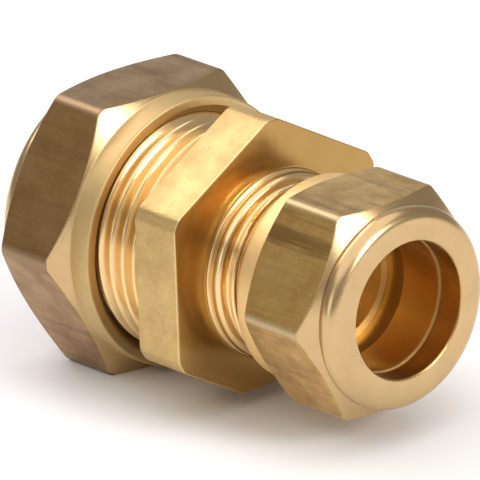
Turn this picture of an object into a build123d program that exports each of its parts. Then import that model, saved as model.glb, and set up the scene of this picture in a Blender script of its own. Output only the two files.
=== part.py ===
import os
from math import cos, radians, sin, sqrt, tan

from build123d import *

os.makedirs("parts", exist_ok=True)

# Sizes in millimetres. X runs along the tubes, the small tube on +X, and Z is up.
# The origin is on the tube axis, in the plane where the end of the large tube stops.

# tubes and the fits around them, radial
large_tube_r = 11.0
small_tube_r = 7.5
nut_bore_gap = 0.15
olive_bore_gap = 0.08
socket_gap = 0.10

# parallel pipe threads of the spigots, and the walls between their roots and the tube sockets
large_spigot_wall = 0.959
small_spigot_wall = 1.716
thread_pitch = 1.814
thread_depth = 1.1615
thread_crest = 0.25
flank_slope = tan(radians(27.5))
large_lead_in = 2.213
small_lead_in = 2.977
groove_turn = 45
thread_over = 0.2
thread_gap = 0.06

# body hexagon, a corner up and the lowest corner cut off flat
hex_af = 29.2
hex_length = 6.5
hex_corner_cut = 0.43
hex_bottom = 13.6
hex_edge = 0.22

# necks beside the hexagon: lip and ring on the small side, undercuts where the threads run out
neck_lip_rise = 0.1
neck_lip_length = 0.35
neck_ring_length = 1.3
neck_notch = 0.3
small_relief_length = 1.35
large_relief_length = 1.4
relief_depth = 1.2
relief_wall = 0.6

# waterway inside the body
large_way_r = 9.7
small_way_r = 6.5
way_cone_back = 5.0
way_cone_length = 2.6
large_stop_depth = 4.0
small_stop_depth = 3.9

# nuts, lengths counted from the rim that faces the body
large_rim_gap = 7.25
large_collar_wall = 1.97
large_collar_length = 2.9
large_flat_rise = 0.25
large_corner_round = 1.2
large_flat_length = 9.65
small_rim_gap = 5.92
small_collar_wall = 0.96
small_collar_length = 2.4
small_flat_rise = 0.2
small_corner_round = 0.9
small_flat_length = 9.95
rim_round = 0.3
large_rim_sink = 0.9
small_rim_sink = 0.55
corner_slope = tan(radians(30))
nose_length = 2.45
nose_round = 1.5
nose_land = 2.0
nose_groove = 0.85
mouth_chamfer = 0.15
seat_depth = 3.0

# olives, and the gap left on both cones while the nuts are finger tight
olive_length = 5.6
olive_end_wall = 0.33
large_olive_crown = 0.88
small_olive_crown = 1.3
olive_taper_length = 1.9
seat_gap = 0.05
mouth_slope = tan(radians(30))
large_mouth_in = 0.55
small_mouth_in = 1.38
spigot_chamfer = 0.6

# radii worked out from the tubes and threads
large_socket_r = large_tube_r + socket_gap
small_socket_r = small_tube_r + socket_gap
large_thread_r = large_socket_r + large_spigot_wall + thread_depth
small_thread_r = small_socket_r + small_spigot_wall + thread_depth
large_collar_r = large_thread_r + thread_gap + large_collar_wall
small_collar_r = small_thread_r + thread_gap + small_collar_wall
large_af = 2 * (large_collar_r + large_flat_rise)
small_af = 2 * (small_collar_r + small_flat_rise)
large_corner_r = large_af / sqrt(3)
small_corner_r = small_af / sqrt(3)
hex_corner_r = hex_af / sqrt(3) - hex_corner_cut
large_nut_bore = large_tube_r + nut_bore_gap
small_nut_bore = small_tube_r + nut_bore_gap
large_olive_bore = large_tube_r + olive_bore_gap
small_olive_bore = small_tube_r + olive_bore_gap
large_olive_end = large_olive_bore + olive_end_wall
small_olive_end = small_olive_bore + olive_end_wall

# positions along X, from the stop of the large tube
large_stop = 0.0
large_end = large_stop - large_stop_depth
large_olive_in = large_end + large_mouth_in
large_olive_out = large_olive_in - olive_length
large_seat = large_olive_out - seat_gap - (large_olive_end - large_nut_bore)
large_nose = large_seat - seat_depth
large_rim = large_nose + nose_length + large_flat_length + large_collar_length
hex_back = large_rim + large_rim_gap
hex_front = hex_back + hex_length
small_rim = hex_front + small_rim_gap
small_nose = small_rim + small_collar_length + small_flat_length + nose_length
small_seat = small_nose - seat_depth
small_olive_out = small_seat - (small_olive_end - small_nut_bore) - seat_gap
small_olive_in = small_olive_out - olive_length
small_end = small_olive_in + small_mouth_in
small_stop = small_end - small_stop_depth
way_cone_x = hex_front - way_cone_back
ring_start = hex_front + neck_lip_length + neck_notch
ring_end = ring_start + neck_ring_length

# each mouth cone just clears the inner taper of its olive
large_mouth_r = large_olive_end + seat_gap + large_mouth_in * mouth_slope
small_mouth_r = small_olive_end + seat_gap + small_mouth_in * mouth_slope
large_cone_in = large_end + (large_mouth_r - large_socket_r) / mouth_slope
small_cone_in = small_end - (small_mouth_r - small_socket_r) / mouth_slope


def nut_section(rim, way, af, corner_r, collar_r, collar_length, flat_length, thread_r, bore_r, rim_sink):
    """Half section of a nut, as lists of (x, r) points on both sides of the round of its nose."""
    flat_r = af / 2
    bore = thread_r + thread_gap
    near = collar_length
    far = near + flat_length
    end = far + nose_length
    groove_r = flat_r - nose_groove
    land_r = bore_r + mouth_chamfer + nose_land
    lift = (corner_r - flat_r) * corner_slope
    start = radians(104)
    before = [
        (rim_sink, bore),
        (0, bore + rim_sink),
        (0, collar_r - rim_round),
        (rim_round * 0.3, collar_r - rim_round * 0.3),
        (rim_round, collar_r),
        (near - (flat_r - collar_r) * corner_slope, collar_r),
        (near + lift, corner_r),
        (far - lift, corner_r),
        (far + nose_groove * corner_slope, groove_r),
        (far + nose_groove * corner_slope + 0.08, groove_r),
        (end - nose_round + nose_round * cos(start), land_r + nose_round * sin(start)),
    ]
    middle = (end - nose_round + nose_round * cos(radians(50)), land_r + nose_round * sin(radians(50)))
    seat = end - seat_depth
    after = [
        (end, land_r),
        (end, bore_r + mouth_chamfer),
        (end - mouth_chamfer, bore_r),
        (seat, bore_r),
        (seat - (bore - bore_r), bore),
        (rim_sink, bore),
    ]
    turn = lambda p: (rim + way * p[0], p[1])
    return [turn(p) for p in before], turn(middle), [turn(p) for p in after]


def thread_groove(start, end, crest_r):
    """Right-hand helical groove from start to end along X, that cuts a thread into a spigot.

    It starts groove_turn degrees past the top, clear of the seam where the turned solids close.
    """
    root_r = crest_r - thread_depth
    root_half = (thread_pitch - thread_crest) / 2 - thread_depth * flank_slope
    height = thread_depth + thread_over
    top_half = root_half + height * flank_slope
    section = Plane(origin=(start, 0, root_r), x_dir=(1, 0, 0), z_dir=(0, -1, 0))
    with BuildLine(mode=Mode.PRIVATE) as path:
        Helix(thread_pitch, end - start, root_r, center=(start, 0, 0), direction=(1, 0, 0))
    with BuildSketch(section, mode=Mode.PRIVATE) as groove:
        with BuildLine():
            Polyline((-root_half, 0), (root_half, 0), (top_half, height), (-top_half, height), close=True)
        make_face()
    return sweep(groove.sketch, path=path.line, is_frenet=True, mode=Mode.PRIVATE).rotate(Axis.X, groove_turn)


def turned_section(*points):
    """Face with corners at the given (x, r) points, ready to be turned about X."""
    with BuildSketch(Plane.XZ, mode=Mode.PRIVATE) as section:
        with BuildLine():
            Polyline(*points, close=True)
        make_face()
    return section.sketch


def spigot_section(base, end, way, crest_r):
    """Section of a round spigot that stands on base, a little sunk into it, and ends in a chamfer."""
    return turned_section(
        (base - way, 0),
        (base - way, crest_r - relief_depth),
        (base, crest_r - relief_depth),
        (base, crest_r),
        (end - way * spigot_chamfer, crest_r),
        (end, crest_r - spigot_chamfer),
        (end, 0),
    )


def undercut_section(base, way, length, crest_r):
    """Section of the undercut at the base of a spigot, where its thread runs out."""
    wall_end = base + way * (length + relief_wall)
    return turned_section(
        (base, crest_r - relief_depth),
        (base + way * length, crest_r - relief_depth),
        (wall_end, crest_r),
        (wall_end, crest_r + thread_over),
        (base, crest_r + thread_over),
    )


# Body: hexagon, two threaded spigots, olive seats, tube stops and the waterway.
with BuildPart() as coupling_body:
    with BuildSketch(Plane.YZ.offset(hex_back)):
        RegularPolygon(radius=hex_af / 2, side_count=6, major_radius=False, rotation=30)
        Circle(hex_corner_r, mode=Mode.INTERSECT)
        with Locations((0, hex_af)):
            Rectangle(4 * hex_af, 2 * (hex_af + hex_bottom), mode=Mode.INTERSECT)
    extrude(amount=hex_length)
    chamfer(coupling_body.faces().filter_by(Axis.X).edges(), hex_edge)
    revolve(spigot_section(hex_back, large_end, -1, large_thread_r), axis=Axis.X)
    large_groove = thread_groove(large_end - large_lead_in, hex_back - thread_pitch / 2, large_thread_r)
    add(large_groove, mode=Mode.SUBTRACT)
    large_undercut = undercut_section(hex_back, -1, large_relief_length, large_thread_r)
    revolve(large_undercut, axis=Axis.X, mode=Mode.SUBTRACT)
    revolve(spigot_section(ring_end, small_end, 1, small_thread_r), axis=Axis.X)
    small_groove = thread_groove(hex_front + small_lead_in, small_end + thread_pitch, small_thread_r)
    add(small_groove, mode=Mode.SUBTRACT)
    small_undercut = undercut_section(ring_end, 1, small_relief_length, small_thread_r)
    revolve(small_undercut, axis=Axis.X, mode=Mode.SUBTRACT)
    with BuildSketch(Plane.XZ):
        with BuildLine():
            Polyline(
                (hex_front - 1, 0),
                (hex_front - 1, small_thread_r + neck_lip_rise),
                (hex_front + neck_lip_length, small_thread_r + neck_lip_rise),
                (hex_front + neck_lip_length + neck_notch / 2, small_thread_r - neck_notch),
                (ring_start, small_thread_r - neck_notch / 2),
                (ring_start + neck_notch, small_thread_r),
                (ring_end - neck_notch / 2, small_thread_r),
                (ring_end, small_thread_r - neck_notch / 2),
                (ring_end + neck_notch / 2, small_thread_r - relief_depth),
                (ring_end + neck_notch / 2, 0),
                close=True,
            )
        make_face()
    revolve(axis=Axis.X)
    with BuildSketch(Plane.XZ):
        with BuildLine():
            Polyline(
                (large_end, 0),
                (large_end, large_mouth_r),
                (large_cone_in, large_socket_r),
                (large_stop, large_socket_r),
                (large_stop, large_way_r),
                (way_cone_x, large_way_r),
                (way_cone_x + way_cone_length, small_way_r),
                (small_stop, small_way_r),
                (small_stop, small_socket_r),
                (small_cone_in, small_socket_r),
                (small_end, small_mouth_r),
                (small_end, 0),
                (large_end, 0),
            )
        make_face()
    revolve(axis=Axis.X, mode=Mode.SUBTRACT)
coupling_body.part.label = "coupling_body"
export_step(coupling_body.part, "parts/coupling_body.step")

# Large nut: collar, hexagon with coned corners, rounded nose, bore with the outer olive seat.
before, middle, after = nut_section(large_rim, -1, large_af, large_corner_r, large_collar_r,
                                    large_collar_length, large_flat_length, large_thread_r, large_nut_bore,
                                    large_rim_sink)
with BuildPart() as large_nut:
    with BuildSketch(Plane.XZ):
        with BuildLine():
            Polyline(*before)
            ThreePointArc(before[-1], middle, after[0])
            Polyline(*after)
        make_face()
    revolve(axis=Axis.X)
    with BuildSketch(Plane.YZ.offset(large_nose - 1)) as large_hex:
        RegularPolygon(radius=large_af / 2, side_count=6, major_radius=False)
        fillet(large_hex.vertices(), large_corner_round)
    extrude(amount=large_rim - large_nose + 2, mode=Mode.INTERSECT)
large_nut.part.label = "large_nut"
export_step(large_nut.part, "parts/large_nut.step")

# Small nut: the same forms on the other thread.
before, middle, after = nut_section(small_rim, 1, small_af, small_corner_r, small_collar_r,
                                    small_collar_length, small_flat_length, small_thread_r, small_nut_bore,
                                    small_rim_sink)
with BuildPart() as small_nut:
    with BuildSketch(Plane.XZ):
        with BuildLine():
            Polyline(*before)
            ThreePointArc(before[-1], middle, after[0])
            Polyline(*after)
        make_face()
    revolve(axis=Axis.X)
    with BuildSketch(Plane.YZ.offset(small_rim - 1)) as small_hex:
        RegularPolygon(radius=small_af / 2, side_count=6, major_radius=False)
        fillet(small_hex.vertices(), small_corner_round)
    extrude(amount=small_nose - small_rim + 2, mode=Mode.INTERSECT)
small_nut.part.label = "small_nut"
export_step(small_nut.part, "parts/small_nut.step")

# Olives: barrel rings with a taper at both ends, between the cones of nut and body.
large_crown_r = large_olive_bore + large_olive_crown
with BuildPart() as large_olive:
    with BuildSketch(Plane.XZ):
        with BuildLine():
            Polyline(
                (large_olive_out, large_olive_bore),
                (large_olive_out, large_olive_end),
                (large_olive_out + olive_taper_length, large_crown_r),
                (large_olive_in - olive_taper_length, large_crown_r),
                (large_olive_in, large_olive_end),
                (large_olive_in, large_olive_bore),
                (large_olive_out, large_olive_bore),
            )
        make_face()
    revolve(axis=Axis.X)
large_olive.part.label = "large_olive"
export_step(large_olive.part, "parts/large_olive.step")

small_crown_r = small_olive_bore + small_olive_crown
with BuildPart() as small_olive:
    with BuildSketch(Plane.XZ):
        with BuildLine():
            Polyline(
                (small_olive_out, small_olive_bore),
                (small_olive_out, small_olive_end),
                (small_olive_out - olive_taper_length, small_crown_r),
                (small_olive_in + olive_taper_length, small_crown_r),
                (small_olive_in, small_olive_end),
                (small_olive_in, small_olive_bore),
                (small_olive_out, small_olive_bore),
            )
        make_face()
    revolve(axis=Axis.X)
small_olive.part.label = "small_olive"
export_step(small_olive.part, "parts/small_olive.step")
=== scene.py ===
from math import cos, pi, radians, sin, sqrt, tan

import bmesh
import bpy
import numpy as np
from mathutils import Matrix, Vector


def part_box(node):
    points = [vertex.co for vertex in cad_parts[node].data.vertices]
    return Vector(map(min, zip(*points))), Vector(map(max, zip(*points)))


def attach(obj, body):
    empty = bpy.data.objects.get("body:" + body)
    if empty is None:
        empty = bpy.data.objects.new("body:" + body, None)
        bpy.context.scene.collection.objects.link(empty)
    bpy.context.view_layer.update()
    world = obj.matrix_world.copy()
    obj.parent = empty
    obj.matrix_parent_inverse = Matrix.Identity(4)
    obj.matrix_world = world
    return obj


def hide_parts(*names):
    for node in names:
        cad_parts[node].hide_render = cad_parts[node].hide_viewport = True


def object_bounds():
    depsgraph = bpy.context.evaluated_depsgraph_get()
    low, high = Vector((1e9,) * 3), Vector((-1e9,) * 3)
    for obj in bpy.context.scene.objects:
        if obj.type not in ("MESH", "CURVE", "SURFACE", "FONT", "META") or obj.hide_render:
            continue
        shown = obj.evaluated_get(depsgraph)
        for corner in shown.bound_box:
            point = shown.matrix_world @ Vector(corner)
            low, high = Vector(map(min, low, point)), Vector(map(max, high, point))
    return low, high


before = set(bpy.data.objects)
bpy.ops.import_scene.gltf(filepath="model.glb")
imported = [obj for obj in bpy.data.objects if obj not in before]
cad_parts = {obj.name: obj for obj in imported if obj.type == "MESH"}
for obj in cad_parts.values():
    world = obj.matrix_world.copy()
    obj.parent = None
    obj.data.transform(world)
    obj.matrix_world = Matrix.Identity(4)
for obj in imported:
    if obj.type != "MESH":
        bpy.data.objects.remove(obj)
cad_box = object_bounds()

# Sizes in millimetres, as in the CAD source; the mesh builder turns them into metres.
MM = 0.001
SLOPE = tan(radians(30))
SLANT = sqrt(1 + SLOPE * SLOPE)

# Threads
PITCH = 1.814
THREAD_DEPTH = 1.1615
THREAD_CREST = 0.25
THREAD_FLANK = THREAD_DEPTH * tan(radians(27.5))
THREAD_GAP = 0.07
THREAD_SOFT = 0.2

# Hexagon of the body
HEX_BACK, HEX_FRONT = 9.89, 16.39
HEX_FLAT_R = 14.6
HEX_CORNER_R = 16.426
HEX_BOTTOM, BOTTOM_SINE = 13.6, 0.5
HEX_EDGE = 0.22
HEX_SOFT = 0.16
HEX_FLAT_ANGLE = 0

# Spigots and bore of the body
LARGE_END, SMALL_END = (v.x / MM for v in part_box("coupling_body"))
LARGE_SOCKET_R, SMALL_SOCKET_R = 11.1, 7.6
LARGE_MOUTH_R, SMALL_MOUTH_R = 11.78, 8.76
LARGE_STOP, SMALL_STOP = 0.0, 25.68
LARGE_WAY_R, SMALL_WAY_R = 9.7, 6.5
WAY_CONE_X, WAY_CONE_LENGTH = HEX_FRONT - 5.0, 2.6
SPIGOT_CHAMFER = 0.6
LARGE_RELIEF, SMALL_RELIEF = 1.4, 1.35
RELIEF_DEPTH, RELIEF_WALL, RELIEF_ROUND = 1.2, 0.6, 0.3
LARGE_ROWS_STOP, SMALL_ROWS_START = 0.9, 0.6

# Neck between the hexagon and the small thread: a lip, a notch and a ring, then the relief of the thread.
# Each bend has its number of steps, then three points: how far from the hexagon and from the thread's crest.
LIP_RISE, LIP_END, LIP_MARGIN = 0.1, 0.35, 0.25
NECK_NOTCH, NECK_RING = 0.3, 1.3
RING_START = LIP_END + NECK_NOTCH
RING_TOP = RING_START + 0.65
RING_END = RING_START + NECK_RING
NECK_BENDS = (
    (3, (0, LIP_RISE + 0.12), (0, LIP_RISE), (0.12, LIP_RISE)),
    (3, (LIP_END - 0.1, LIP_RISE), (LIP_END, LIP_RISE), (LIP_END + 0.05, LIP_RISE - 0.12)),
    (3, (LIP_END + 0.12, -0.2), (LIP_END + 0.15, -NECK_NOTCH), (LIP_END + 0.22, -0.22)),
    (6, (RING_START + 0.05, -0.16), (RING_START + 0.45, 0.05), (RING_TOP, 0)),
    (6, (RING_TOP, 0), (RING_END - 0.1, -0.05), (RING_END + 0.05, -0.4)),
    (4, (RING_END + 0.11, RELIEF_ROUND - RELIEF_DEPTH), (RING_END + 0.15, -RELIEF_DEPTH),
     (RING_END + 0.5, -RELIEF_DEPTH)),
)

# Nuts: sizes that each has for itself, with its colours, then those that both share.
LARGE = {
    "rim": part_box("large_nut")[1].x / MM, "way": -1, "rim_sink": 0.9,
    "collar_r": 15.25, "collar_length": 2.9, "flat_r": 15.5005, "flat_length": 9.65, "corner_round": 1.2,
    "thread_r": 13.2205, "crest_x": 3.99, "bore_r": 11.15,
    "light": (0.47, 0.275, 0.115, 1), "dark": (0.31, 0.172, 0.063, 1), "streak": 0.3,
    "collar_colour": (0.60, 0.43, 0.20, 1), "corner_painted_shade_colour": (0.33, 0.22, 0.12, 1),
}
SMALL = {
    "rim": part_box("small_nut")[0].x / MM, "way": 1, "rim_sink": 0.55,
    "collar_r": 11.5, "collar_length": 2.4, "flat_r": 11.6975, "flat_length": 9.95, "corner_round": 0.9,
    "thread_r": 10.4775, "crest_x": 20.5, "bore_r": 7.65,
    "light": (0.78, 0.49, 0.17, 1), "dark": (0.50, 0.287, 0.09, 1), "streak": 0.7,
    "collar_colour": (0.88, 0.61, 0.27, 1), "corner_painted_shade_colour": (0.54, 0.40, 0.21, 1),
}
NUT_FLAT_ANGLE = 90
NUT_CLEARANCE = 0.06
NUT_EDGE = 0.14
RIM_ROUND = 0.3
COLLAR_ROOT = 0.1
COLLAR_ROWS = (0.4, 0.7)
FLAT_ROWS = 6
NOSE_LENGTH, NOSE_ROUND, NOSE_LAND = 2.45, 1.5, 2.0
NOSE_ARC, NOSE_STEPS = 104, 15
NOSE_GROOVE, GROOVE_SOFT = 0.85, 0.12
GROOVE_SINK_X, GROOVE_SINK_R = 0.02, 0.05
MOUTH_CHAMFER, MOUTH_LAND, MOUTH_SOFT = 0.15, 0.05, 0.04
SEAT_DEPTH = 3.0
NUT_RUN_OUT, NUT_FADE, NUT_ROWS_STOP = 1.6, 0.6, 0.2

# Angles in degrees of the columns round the axis, closer together where a hexagon has its corners.
SECTOR, CORNER_SPAN = 30, 2.25
near_corner = np.linspace(-CORNER_SPAN, CORNER_SPAN, 10)
between = np.linspace(CORNER_SPAN, SECTOR - CORNER_SPAN, 21)[1:-1]
columns = [SECTOR * k + a for k in range(360 // SECTOR) for a in (*near_corner, *between)]
theta = np.sort(np.radians(columns) % (2 * pi))
ones = np.ones(len(theta))

# Places of the rows along one turn of a thread, in pitches from its crest.
HALF_STEPS = (0.07, 0.14, 0.235, 0.33, 0.38, 0.43)
THREAD_STEPS = (*(-step for step in HALF_STEPS[::-1]), 0.0, *HALF_STEPS, 0.5)
SPARE_TURNS = 2

# Meshing: points closer than WELD metres are one, and edges over SHARP degrees stay sharp.
WELD, SHARP = 2e-7, 32


def ring(x, r):
    """One ring of the surface round the tube axis, closed on itself: x and r may change with the angle."""
    return x * ones, r * ones, 0


def corner_round(a, corner, b, steps=4):
    """Rings from a to b that round off the corner between them."""
    rings = []
    for t in np.linspace(0, 1, steps + 1):
        weights = ((1 - t) ** 2, 2 * t * (1 - t), t * t)
        x, r = (sum(w * p[i] for w, p in zip(weights, (a, corner, b))) for i in (0, 1))
        rings.append(ring(x, r))
    return rings


def from_flat(first_flat):
    """Angle of each column from the middle of its flat, on a hexagon with one flat at first_flat degrees."""
    return (theta - radians(first_flat) + pi / 6) % (pi / 3) - pi / 6


def cut_hexagon_r(flat_r, corner_r, first_flat):
    """Radius at each angle of a hexagon whose corners are turned off at corner_r."""
    side = flat_r / np.cos(from_flat(first_flat))
    soft = np.maximum(HEX_SOFT - np.abs(side - corner_r), 0) ** 2 / (4 * HEX_SOFT)
    return np.minimum(side, corner_r) - soft


def round_hexagon_r(flat_r, round_r, first_flat):
    """Radius at each angle of a hexagon whose corners are rounded by round_r."""
    off = np.abs(from_flat(first_flat))
    centre = (flat_r - round_r) / cos(pi / 6)
    aside = off - pi / 6
    half_chord = np.sqrt(np.maximum(round_r ** 2 - (centre * np.sin(aside)) ** 2, 0))
    arc = centre * np.cos(aside) + half_chord
    start = np.arctan2(centre * sin(pi / 6), flat_r)
    return np.where(off < start, flat_r / np.cos(off), arc)


def soft_limit(value, k=THREAD_SOFT):
    """Value held between 0 and 1 with rounded corners."""
    low = np.maximum(value, 0) + np.maximum(k - np.abs(value), 0) ** 2 / (4 * k)
    return np.minimum(low, 1) - np.maximum(k - np.abs(low - 1), 0) ** 2 / (4 * k)


def thread_wave(x, crest_x):
    """Height of a right-hand thread at each angle, from 0 in the root to 1 on the crest."""
    turn = (x - crest_x) / PITCH - (theta - pi) / (2 * pi)
    from_crest = np.abs(turn - np.round(turn)) * PITCH
    return soft_limit(1 - (from_crest - THREAD_CREST / 2) / THREAD_FLANK)


def thread_rows(start, end, crest_x, radius):
    """Rings along the thread's helix, with radius(x, wave) at each point; each closes on the next turn."""
    low, high = min(start, end), max(start, end)
    lean = PITCH * (theta - pi) / (2 * pi)
    first = int((low - crest_x) / PITCH) - SPARE_TURNS
    last = int((high - crest_x) / PITCH) + SPARE_TURNS
    rows = []
    for turn in range(first, last + 1):
        for step in THREAD_STEPS:
            x = np.clip(crest_x + (turn + step) * PITCH + lean, low, high)
            rows.append((x, radius(x, thread_wave(x, crest_x))))
    one_turn = len(THREAD_STEPS)
    if start > end:
        return [(*row, max(i - one_turn, 0) - i) for i, row in enumerate(rows[::-1])]
    return [(*row, min(i + one_turn, len(rows) - 1) - i) for i, row in enumerate(rows)]


def shell(name, rings, body, node):
    """Closed surface through the rings, the last joined to the first, that stands for a CAD node."""
    x = np.array([row[0] for row in rings])
    r = np.array([row[1] for row in rings])
    points = np.stack([x, r * np.cos(theta), r * np.sin(theta)], axis=-1).reshape(-1, 3) * MM
    index = np.arange(len(points)).reshape(x.shape)
    side = np.roll(index, -1, axis=1)
    side[:, -1] = index[np.arange(len(rings)) + [row[2] for row in rings], 0]
    following, both = np.roll(index, -1, axis=0), np.roll(side, -1, axis=0)
    faces = np.stack([index, following, both, side], axis=-1).reshape(-1, 4)
    mesh = bpy.data.meshes.new(name)
    mesh.from_pydata(points.tolist(), [], faces.tolist())
    work = bmesh.new()
    work.from_mesh(mesh)
    bmesh.ops.remove_doubles(work, verts=work.verts, dist=WELD)
    bmesh.ops.dissolve_degenerate(work, dist=WELD, edges=work.edges)
    bmesh.ops.recalc_face_normals(work, faces=work.faces)
    work.to_mesh(mesh)
    work.free()
    mesh.shade_smooth()
    mesh.set_sharp_from_angle(angle=radians(SHARP))
    piece = bpy.data.objects.new(name, mesh)
    bpy.context.scene.collection.objects.link(piece)
    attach(piece, body)
    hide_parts(node)
    return piece


def nut_rings(nut):
    """Outside of a nut from its rim to its nose, then its bore, olive seat and thread back to the rim."""
    rim, way, rim_sink = nut["rim"], nut["way"], nut["rim_sink"]
    flat_r, collar_r, bore_r = nut["flat_r"], nut["collar_r"], nut["bore_r"]
    inner_r = nut["thread_r"] + NUT_CLEARANCE
    near = nut["collar_length"]
    far = near + nut["flat_length"]
    end = far + NOSE_LENGTH

    def at(u, r):
        return ring(rim + way * u, r)

    rings = [at(0, inner_r + rim_sink)]
    rings += corner_round(at(0, collar_r - RIM_ROUND), at(0, collar_r), at(RIM_ROUND, collar_r))
    rings += [at(near * share, collar_r) for share in COLLAR_ROWS]
    base = near - (flat_r - collar_r) * SLOPE
    rings += corner_round(at(base - COLLAR_ROOT, collar_r), at(base, collar_r),
                          at(base + COLLAR_ROOT * SLOPE / SLANT, collar_r + COLLAR_ROOT / SLANT), steps=3)

    hex_r = round_hexagon_r(flat_r, nut["corner_round"], NUT_FLAT_ANGLE)
    lift = (hex_r - flat_r) * SLOPE
    front, back = near + lift, far - lift
    along, inwards = NUT_EDGE * SLOPE / SLANT, NUT_EDGE / SLANT
    rings += corner_round(at(front - along, hex_r - inwards), at(front, hex_r), at(front + NUT_EDGE, hex_r))
    rings += [at(front + (back - front) * k / FLAT_ROWS, hex_r) for k in range(1, FLAT_ROWS)]
    rings += corner_round(at(back - NUT_EDGE, hex_r), at(back, hex_r), at(back + along, hex_r - inwards))

    mouth_r = bore_r + MOUTH_CHAMFER
    land_r = mouth_r + NOSE_LAND
    bead_x = end - NOSE_ROUND
    bead = [at(bead_x + NOSE_ROUND * cos(a), land_r + NOSE_ROUND * sin(a))
            for a in np.radians(np.linspace(NOSE_ARC, 0, NOSE_STEPS))]
    groove, groove_r = far + NOSE_GROOVE * SLOPE, flat_r - NOSE_GROOVE
    rings += corner_round(at(groove - GROOVE_SOFT, groove_r + GROOVE_SOFT / SLOPE),
                          at(groove + GROOVE_SINK_X, groove_r - GROOVE_SINK_R), bead[0], steps=5)
    rings += bead[1:]
    rings += corner_round(at(end, mouth_r + MOUTH_LAND), at(end, mouth_r),
                          at(end - MOUTH_SOFT, mouth_r - MOUTH_SOFT), steps=2)

    seat = end - SEAT_DEPTH
    deep = seat - (inner_r - bore_r)
    rings += [at(end - MOUTH_CHAMFER, bore_r), at(seat, bore_r), at(deep, inner_r)]
    root_r = nut["thread_r"] - THREAD_DEPTH + THREAD_GAP

    def radius(x, wave):
        u = (x - rim) * way
        fade = np.clip((deep - NUT_RUN_OUT - u) / NUT_FADE, 0, 1)
        cut = root_r + THREAD_DEPTH * wave
        return np.maximum(inner_r + (cut - inner_r) * fade, inner_r + rim_sink - u)

    return rings + thread_rows(rim + way * (deep - NUT_ROWS_STOP), rim, nut["crest_x"], radius)


def large_spigot_rings():
    """Outside of the large spigot from its end to the hexagon."""
    thread_r = LARGE["thread_r"]
    root_r = thread_r - THREAD_DEPTH
    floor_r = thread_r - RELIEF_DEPTH

    def radius(x, wave):
        end_cut = thread_r - SPIGOT_CHAMFER + (x - LARGE_END)
        run_out = (x - HEX_BACK + LARGE_RELIEF + RELIEF_WALL) / RELIEF_WALL
        relief = thread_r - RELIEF_DEPTH * np.clip(run_out, 0, 1)
        return np.minimum(np.minimum(root_r + THREAD_DEPTH * wave, end_cut), relief)

    rings = thread_rows(LARGE_END, HEX_BACK - LARGE_ROWS_STOP, LARGE["crest_x"], radius)
    return rings + corner_round(ring(HEX_BACK - RELIEF_ROUND, floor_r), ring(HEX_BACK, floor_r),
                                ring(HEX_BACK, floor_r + RELIEF_ROUND))


def hexagon_rings():
    """Outside of the body's hexagon, with its lowest corner cut off flat."""
    # Below BOTTOM_SINE the cut would lie outside the hexagon.
    downwards = np.maximum(-np.sin(theta), BOTTOM_SINE)
    hex_r = np.minimum(cut_hexagon_r(HEX_FLAT_R, HEX_CORNER_R, HEX_FLAT_ANGLE), HEX_BOTTOM / downwards)
    inner = hex_r - HEX_EDGE
    back = corner_round(ring(HEX_BACK, inner), ring(HEX_BACK, hex_r), ring(HEX_BACK + HEX_EDGE, hex_r),
                        steps=3)
    front = corner_round(ring(HEX_FRONT - HEX_EDGE, hex_r), ring(HEX_FRONT, hex_r), ring(HEX_FRONT, inner),
                         steps=3)
    return back + front


def small_spigot_rings():
    """Outside of the neck and the small spigot from the hexagon to its end."""
    thread_r = SMALL["thread_r"]
    root_r = thread_r - THREAD_DEPTH
    floor_r = thread_r - RELIEF_DEPTH
    ring_end = HEX_FRONT + RING_END
    rings = [ring(HEX_FRONT, thread_r + LIP_RISE + LIP_MARGIN)]
    for steps, *points in NECK_BENDS:
        rings += corner_round(*(ring(HEX_FRONT + x, thread_r + r) for x, r in points), steps=steps)

    def radius(x, wave):
        end_cut = thread_r - SPIGOT_CHAMFER + (SMALL_END - x)
        rise = floor_r + RELIEF_DEPTH * np.clip((x - ring_end - SMALL_RELIEF) / RELIEF_WALL, 0, 1)
        return np.minimum(np.minimum(root_r + THREAD_DEPTH * wave, end_cut), rise)

    return rings + thread_rows(ring_end + SMALL_ROWS_START, SMALL_END, SMALL["crest_x"], radius)


def body_bore_rings():
    """Bore of the body from the small mouth to the large one: olive seat, socket, stop and waterway."""
    small_cone = SMALL_END - (SMALL_MOUTH_R - SMALL_SOCKET_R) / SLOPE
    large_cone = LARGE_END + (LARGE_MOUTH_R - LARGE_SOCKET_R) / SLOPE
    outline = (
        (SMALL_END, SMALL_MOUTH_R), (small_cone, SMALL_SOCKET_R), (SMALL_STOP, SMALL_SOCKET_R),
        (SMALL_STOP, SMALL_WAY_R), (WAY_CONE_X + WAY_CONE_LENGTH, SMALL_WAY_R), (WAY_CONE_X, LARGE_WAY_R),
        (LARGE_STOP, LARGE_WAY_R), (LARGE_STOP, LARGE_SOCKET_R), (large_cone, LARGE_SOCKET_R),
        (LARGE_END, LARGE_MOUTH_R),
    )
    return [ring(x, r) for x, r in outline]


# Brass: waves per metre along X, Y and Z of each pattern, and its detail.
BLOTCHES = (260, 260, 260), 4.0
BLOTCH_RANGE = (0.35, 0.65)
LINES = (55, 800, 800), 4.0
BANDS = (30, 380, 380), 3.0
BRUSHING = (160, 3600, 3600), 2.0
SPECKS = (4200, 4200, 4200), 2.0
PATTERN_ROUGHNESS = 0.6
# Turned metal begins this far below the flats, and where a face looks along X.
TURNED_EDGE, TURNED_BLUR, ZONE_BLUR = 0.08, 0.08, 0.05
TURNED_FACING = (0.3, 0.6)
# Dark blotches: their share in turned metal and in zones, and how dark and how dull they are.
TURNED_WEAR, ZONE_WEAR, WORN = 0.25, 0.3, 0.7
DULLER, SHINIER = 0.06, 0.04
TURNED_DULLER, TURNED_SHINIER = 0.03, 0.02
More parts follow.
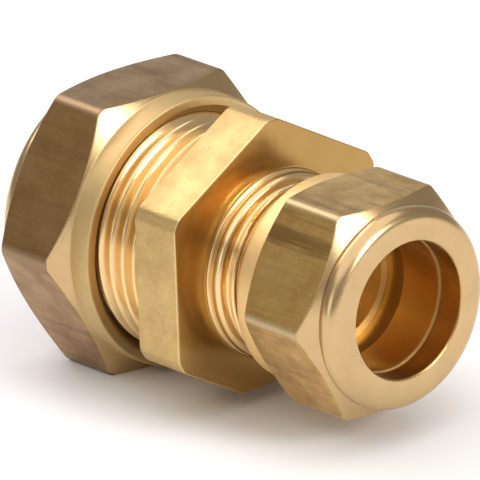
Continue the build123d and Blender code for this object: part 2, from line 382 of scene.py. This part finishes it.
# Depth of the grain in metres, and the share of it on turned metal.
GRAIN_DEPTH, TURNED_GRAIN = 0.00004, 0.04


def add_node(tree, kind, inputs, **settings):
    """New shader node with its settings and its inputs, each a number, a colour or another node's socket."""
    made = tree.nodes.new(kind)
    for key, value in settings.items():
        setattr(made, key, value)
    for key, value in inputs.items():
        if isinstance(value, bpy.types.NodeSocket):
            tree.links.new(value, made.inputs[key])
        else:
            made.inputs[key].default_value = value
    return made


def noise(tree, vector, waves, detail):
    """Noise from 0 to 1 with its own number of waves per metre along X, Y and Z."""
    scaled = add_node(tree, "ShaderNodeVectorMath", {0: vector, 1: waves}, operation="MULTIPLY")
    made = add_node(tree, "ShaderNodeTexNoise", {"Vector": scaled.outputs[0], "Scale": 1.0, "Detail": detail,
                                                 "Roughness": PATTERN_ROUGHNESS})
    return made.outputs["Fac"]


def spread(tree, value, low, high, to_low=0.0, to_high=1.0):
    """Value moved from one range to another and held there."""
    made = add_node(tree, "ShaderNodeMapRange", {"Value": value, "From Min": low, "From Max": high,
                                                 "To Min": to_low, "To Max": to_high})
    return made.outputs["Result"]


def calculate(tree, operation, *values):
    """Result of an operation on one or two values."""
    return add_node(tree, "ShaderNodeMath", dict(enumerate(values)), operation=operation).outputs[0]


def mix(tree, share, first, second):
    """Mix of two colours."""
    made = add_node(tree, "ShaderNodeMix", {0: share, 6: first, 7: second}, data_type="RGBA")
    return made.outputs[2]


def mix_value(tree, share, first, second):
    """Mix of two numbers."""
    made = add_node(tree, "ShaderNodeMix", {0: share, 2: first, 3: second}, data_type="FLOAT")
    return made.outputs[0]


def shade(colour, factor):
    """Colour made darker or lighter by a factor."""
    return [factor * v for v in colour[:3]] + [1]


def marked_flat(tree, place, flat, speck, light, dark, streak, brush, grain):
    """Colour of a flat with streaks, brushing and specks laid over it."""
    lines, bands, brushed = (noise(tree, place, *pattern) for pattern in (LINES, BANDS, BRUSHING))
    for pattern, begin, full, at_begin, at_full, mark in (
        (lines, 0.50, 0.64, 0, 0.6 * streak, shade(dark, 0.4)),
        (bands, 0.56, 0.66, 0, streak, shade(dark, 0.4)),
        (brushed, 0.35, 0.65, brush, 0, shade(dark, 0.5)),
        (speck, 0.56, 0.72, 0, 0.35, shade(dark, 0.6)),
        (speck, 0.44, 0.30, 0, 0.35 * grain, shade(light, 1.3)),
    ):
        flat = mix(tree, spread(tree, pattern, begin, full, at_begin, at_full), flat, mark)
    return flat


def brass(name, light, dark, turned, flat_r, streak, roughness, turned_roughness, grain, brush=0.0,
          zones=()):
    """Brass with blotched, streaked flats outside flat_r and cleaner, warmer metal where it was turned.

    Each zone gives a range of X or of the radius its own colour and roughness, over those before it.
    """
    mat = bpy.data.materials.new(name)
    mat.use_nodes = True
    tree = mat.node_tree
    shader = tree.nodes["Principled BSDF"]
    shader.inputs["Metallic"].default_value = 1.0
    where = tree.nodes.new("ShaderNodeTexCoord")
    place = where.outputs["Object"]
    axes = add_node(tree, "ShaderNodeSeparateXYZ", {"Vector": place})
    facing = add_node(tree, "ShaderNodeSeparateXYZ", {"Vector": where.outputs["Normal"]})
    across = add_node(tree, "ShaderNodeCombineXYZ", {"Y": axes.outputs["Y"], "Z": axes.outputs["Z"]})
    length = add_node(tree, "ShaderNodeVectorMath", {0: across.outputs[0]}, operation="LENGTH")
    radius = length.outputs["Value"]
    end_on = calculate(tree, "ABSOLUTE", facing.outputs["X"])
    turned_r = flat_r - TURNED_EDGE
    inside = spread(tree, radius, turned_r * MM, (turned_r - TURNED_BLUR) * MM)
    worked = calculate(tree, "MAXIMUM", inside, spread(tree, end_on, *TURNED_FACING))

    blotch = spread(tree, noise(tree, place, *BLOTCHES), *BLOTCH_RANGE)
    speck = noise(tree, place, *SPECKS)
    flat = mix(tree, blotch, dark, light)
    flat = marked_flat(tree, place, flat, speck, light, dark, streak, brush, grain)
    metal = mix(tree, spread(tree, blotch, 0, 1, TURNED_WEAR, 0), turned, shade(turned, WORN))
    colour = mix(tree, worked, flat, metal)
    matt = spread(tree, blotch, 0, 1, roughness + DULLER, roughness - SHINIER)
    shine = spread(tree, blotch, 0, 1, turned_roughness + TURNED_DULLER, turned_roughness - TURNED_SHINIER)
    rough = mix_value(tree, worked, matt, shine)
    for along, start, end, zone_colour, zone_roughness in zones:
        value = axes.outputs["X"] if along == "x" else radius
        begun = spread(tree, value, (start - ZONE_BLUR) * MM, (start + ZONE_BLUR) * MM)
        not_over = spread(tree, value, (end + ZONE_BLUR) * MM, (end - ZONE_BLUR) * MM)
        share = calculate(tree, "MULTIPLY", begun, not_over)
        worn = mix(tree, spread(tree, blotch, 0, 1, ZONE_WEAR, 0), zone_colour, shade(zone_colour, WORN))
        colour = mix(tree, share, colour, worn)
        rough = mix_value(tree, share, rough, zone_roughness)
    tree.links.new(colour, shader.inputs["Base Color"])
    tree.links.new(rough, shader.inputs["Roughness"])
    strength = spread(tree, worked, 0, 1, grain, grain * TURNED_GRAIN)
    bump = add_node(tree, "ShaderNodeBump", {"Strength": strength, "Distance": GRAIN_DEPTH, "Height": speck})
    tree.links.new(bump.outputs["Normal"], shader.inputs["Normal"])
    return mat


# Body
# Threads and neck: their brass tone, lightened with painted light that lifts the shade the nuts and the
# hexagon cast there.
THREAD_BRASS_AND_PAINTED_LIGHT_COLOUR = (0.88, 0.63, 0.32, 1)
# Front face of the hexagon: painted shade, a darker orange-brown than the flats.
FRONT_FACE_PAINTED_SHADE_COLOUR = (0.47, 0.285, 0.095, 1)
FRONT_EDGE_COLOUR = (0.82, 0.65, 0.38, 1)
# Back face of the hexagon, out of view: painted light, pale so that the threads beside it reflect it
# lighter.
BACK_FACE_PAINTED_LIGHT_COLOUR = (0.92, 0.78, 0.52, 1)
FACE_ZONE, THREAD_ZONE_GAP = 0.05, 0.1
EDGE_ZONE_START, EDGE_ZONE_END = HEX_FRONT - 0.2, HEX_FRONT - 0.1
# Bore: its brass tone, lightened with painted light against the shade inside it.
BORE_BRASS_AND_PAINTED_LIGHT_COLOUR, BORE_R = (0.70, 0.43, 0.12, 1), 9.1
# Stop ledge in the bore: painted light, a pale tone that makes it look lit.
LEDGE_PAINTED_LIGHT_COLOUR, LEDGE_START_R, LEDGE_END_R = (0.95, 0.74, 0.42, 1), 6.62, 7.5
body_rings = large_spigot_rings() + hexagon_rings() + small_spigot_rings() + body_bore_rings()
body = shell("threaded_body", body_rings, "coupling_body", "coupling_body")
body.data.materials.append(brass(
    "forged_brass", light=(0.625, 0.445, 0.188, 1), dark=(0.545, 0.372, 0.15, 1),
    turned=(0.60, 0.37, 0.13, 1), flat_r=HEX_FLAT_R, streak=0.15, roughness=0.48, turned_roughness=0.24,
    grain=1.0, zones=(
        ("x", LARGE_END, HEX_BACK - THREAD_ZONE_GAP, THREAD_BRASS_AND_PAINTED_LIGHT_COLOUR, 0.22),
        ("x", HEX_FRONT + THREAD_ZONE_GAP, SMALL_END, THREAD_BRASS_AND_PAINTED_LIGHT_COLOUR, 0.22),
        ("x", HEX_FRONT - FACE_ZONE, HEX_FRONT + FACE_ZONE, FRONT_FACE_PAINTED_SHADE_COLOUR, 0.27),
        ("x", EDGE_ZONE_START, EDGE_ZONE_END, FRONT_EDGE_COLOUR, 0.45),
        ("r", 0, BORE_R, BORE_BRASS_AND_PAINTED_LIGHT_COLOUR, 0.4),
        ("r", LEDGE_START_R, LEDGE_END_R, LEDGE_PAINTED_LIGHT_COLOUR, 0.55),
        ("x", HEX_BACK - FACE_ZONE, HEX_BACK + FACE_ZONE, BACK_FACE_PAINTED_LIGHT_COLOUR, 0.5),
    )))

# Nuts
NUT_TURNED_COLOUR = (0.61, 0.42, 0.21, 1)
NUT_BORE_COLOUR = (0.60, 0.36, 0.12, 1)
NUT_BORE_MARGIN, COLLAR_MARGIN = 0.1, 0.1
# Corners of the nuts: painted shade, a darker tone that damps the highlight on their rounding.
CORNER_SHARE, CORNER_DEPTH = 1.13, 2
large_nut = shell("large_hex_nut", nut_rings(LARGE), "large_nut", "large_nut")
small_nut = shell("small_hex_nut", nut_rings(SMALL), "small_nut", "small_nut")
for piece, nut in ((large_nut, LARGE), (small_nut, SMALL)):
    collar = sorted((nut["rim"], nut["rim"] + nut["way"] * (nut["collar_length"] - COLLAR_MARGIN)))
    corner = nut["flat_r"] * CORNER_SHARE
    piece.data.materials.append(brass(
        piece.name + "_brass", light=nut["light"], dark=nut["dark"], turned=NUT_TURNED_COLOUR,
        flat_r=nut["flat_r"], streak=nut["streak"], roughness=0.33, turned_roughness=0.25, grain=0.15,
        brush=0.2, zones=(
            ("x", *collar, nut["collar_colour"], 0.52),
            ("r", 0, nut["bore_r"] + NUT_BORE_MARGIN, NUT_BORE_COLOUR, 0.3),
            ("r", corner, corner + CORNER_DEPTH, nut["corner_painted_shade_colour"], 0.45),
        )))

# Olives: the CAD meshes stay, with a painted highlight as a pale edge on the end that faces out.
OLIVE_COLOUR = (0.74, 0.46, 0.14, 1)
OLIVE_EDGE_PAINTED_HIGHLIGHT_COLOUR, OLIVE_EDGE, OLIVE_BEYOND = (0.98, 0.80, 0.46, 1), 0.25, 1
large_edge, small_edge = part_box("large_olive")[0].x / MM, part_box("small_olive")[1].x / MM
olive_brass = brass(
    "olive_brass", light=OLIVE_COLOUR, dark=(0.66, 0.39, 0.11, 1), turned=OLIVE_COLOUR,
    flat_r=LARGE["flat_r"], streak=0.1, roughness=0.3, turned_roughness=0.3, grain=0.1, zones=(
        ("x", large_edge - OLIVE_BEYOND, large_edge + OLIVE_EDGE, OLIVE_EDGE_PAINTED_HIGHLIGHT_COLOUR, 0.5),
        ("x", small_edge - OLIVE_EDGE, small_edge + OLIVE_BEYOND, OLIVE_EDGE_PAINTED_HIGHLIGHT_COLOUR, 0.5),
    ))
for node in ("large_olive", "small_olive"):
    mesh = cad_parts[node].data
    mesh.materials.clear()
    mesh.materials.append(olive_brass)

# Camera: long lens, from the small end, a little above and rolled as in the picture.
CAMERA_AZIMUTH, CAMERA_ELEVATION, CAMERA_ROLL = 48.331, 21.175, -2.077
CAMERA_DISTANCE = 1.144265
SENSOR_WIDTH = 36
LENS_PIXELS, PICTURE_PIXELS = 10613.4, 480
AIM_U, AIM_V = 37.628, 22.565
azimuth, elevation, roll = (radians(a) for a in (CAMERA_AZIMUTH, CAMERA_ELEVATION, CAMERA_ROLL))
back = Vector((sin(azimuth) * cos(elevation), -cos(azimuth) * cos(elevation), sin(elevation)))
right = Vector((cos(azimuth), sin(azimuth), 0))
up = back.cross(right)
right, up = cos(roll) * right + sin(roll) * up, cos(roll) * up - sin(roll) * right
aim = Vector((HEX_FRONT * MM, 0, 0))
lens = bpy.data.cameras.new("camera")
lens.sensor_width = SENSOR_WIDTH
lens.lens = SENSOR_WIDTH * LENS_PIXELS / PICTURE_PIXELS
lens.clip_start, lens.clip_end = 0.05, 50
camera = bpy.data.objects.new("camera", lens)
camera.matrix_world = Matrix((right, up, back)).transposed().to_4x4()
camera.location = aim + CAMERA_DISTANCE * (back - right * AIM_U / LENS_PIXELS + up * AIM_V / LENS_PIXELS)
bpy.context.scene.collection.objects.link(camera)
bpy.context.scene.camera = camera

# Floor
FLOOR_HALF = 3.0
floor_z = cad_box[0].z
floor_mesh = bpy.data.meshes.new("floor")
floor_corners = [(x * FLOOR_HALF, y * FLOOR_HALF, floor_z) for x, y in ((-1, -1), (1, -1), (1, 1), (-1, 1))]
floor_mesh.from_pydata(floor_corners, [], [(0, 1, 2, 3)])
floor = bpy.data.objects.new("floor", floor_mesh)
bpy.context.scene.collection.objects.link(floor)
paper = bpy.data.materials.new("paper")
paper.use_nodes = True
paper_shader = paper.node_tree.nodes["Principled BSDF"]
paper_shader.inputs["Base Color"].default_value = (0.87, 0.87, 0.87, 1)
paper_shader.inputs["Roughness"].default_value = 0.9
floor_mesh.materials.append(paper)

# Light
world = bpy.data.worlds.new("room")
world.use_nodes = True
room = world.node_tree.nodes["Background"]
room.inputs["Color"].default_value = (1.0, 0.96, 0.92, 1)
room.inputs["Strength"].default_value = 0.36
bpy.context.scene.world = world


def card(name, toward, distance, size, power, colour=(1, 1, 1)):
    """A soft area light that faces the object from a direction."""
    light = bpy.data.lights.new(name, "AREA")
    light.shape = "DISK"
    light.size = size
    light.energy = power
    light.color = colour
    lamp = bpy.data.objects.new(name, light)
    direction = Vector(toward).normalized()
    lamp.location = aim + direction * distance
    lamp.rotation_mode = "QUATERNION"
    lamp.rotation_quaternion = direction.to_track_quat("Z", "Y")
    bpy.context.scene.collection.objects.link(lamp)


card("key", toward=(-0.69, 0.0, 0.72), distance=0.9, size=0.55, power=1.95, colour=(1.0, 0.91, 1.0))
card("side", toward=(0.886, 0.163, 0.43), distance=0.9, size=0.35, power=4.5)
card("overhead", toward=(0.1, -0.2, 1.0), distance=1.4, size=3.0, power=25)
card("back", toward=(-0.696, 0.62, 0.361), distance=1.3, size=1.2, power=1.3, colour=(0.75, 0.9, 1.0))
card("fill", toward=(0.1, -0.97, 0.2), distance=0.9, size=0.4, power=0.5)
card("key_low", toward=(-0.696, -0.30, 0.65), distance=0.9, size=0.32, power=0.65)
bpy.context.scene.view_settings.view_transform = "Standard"
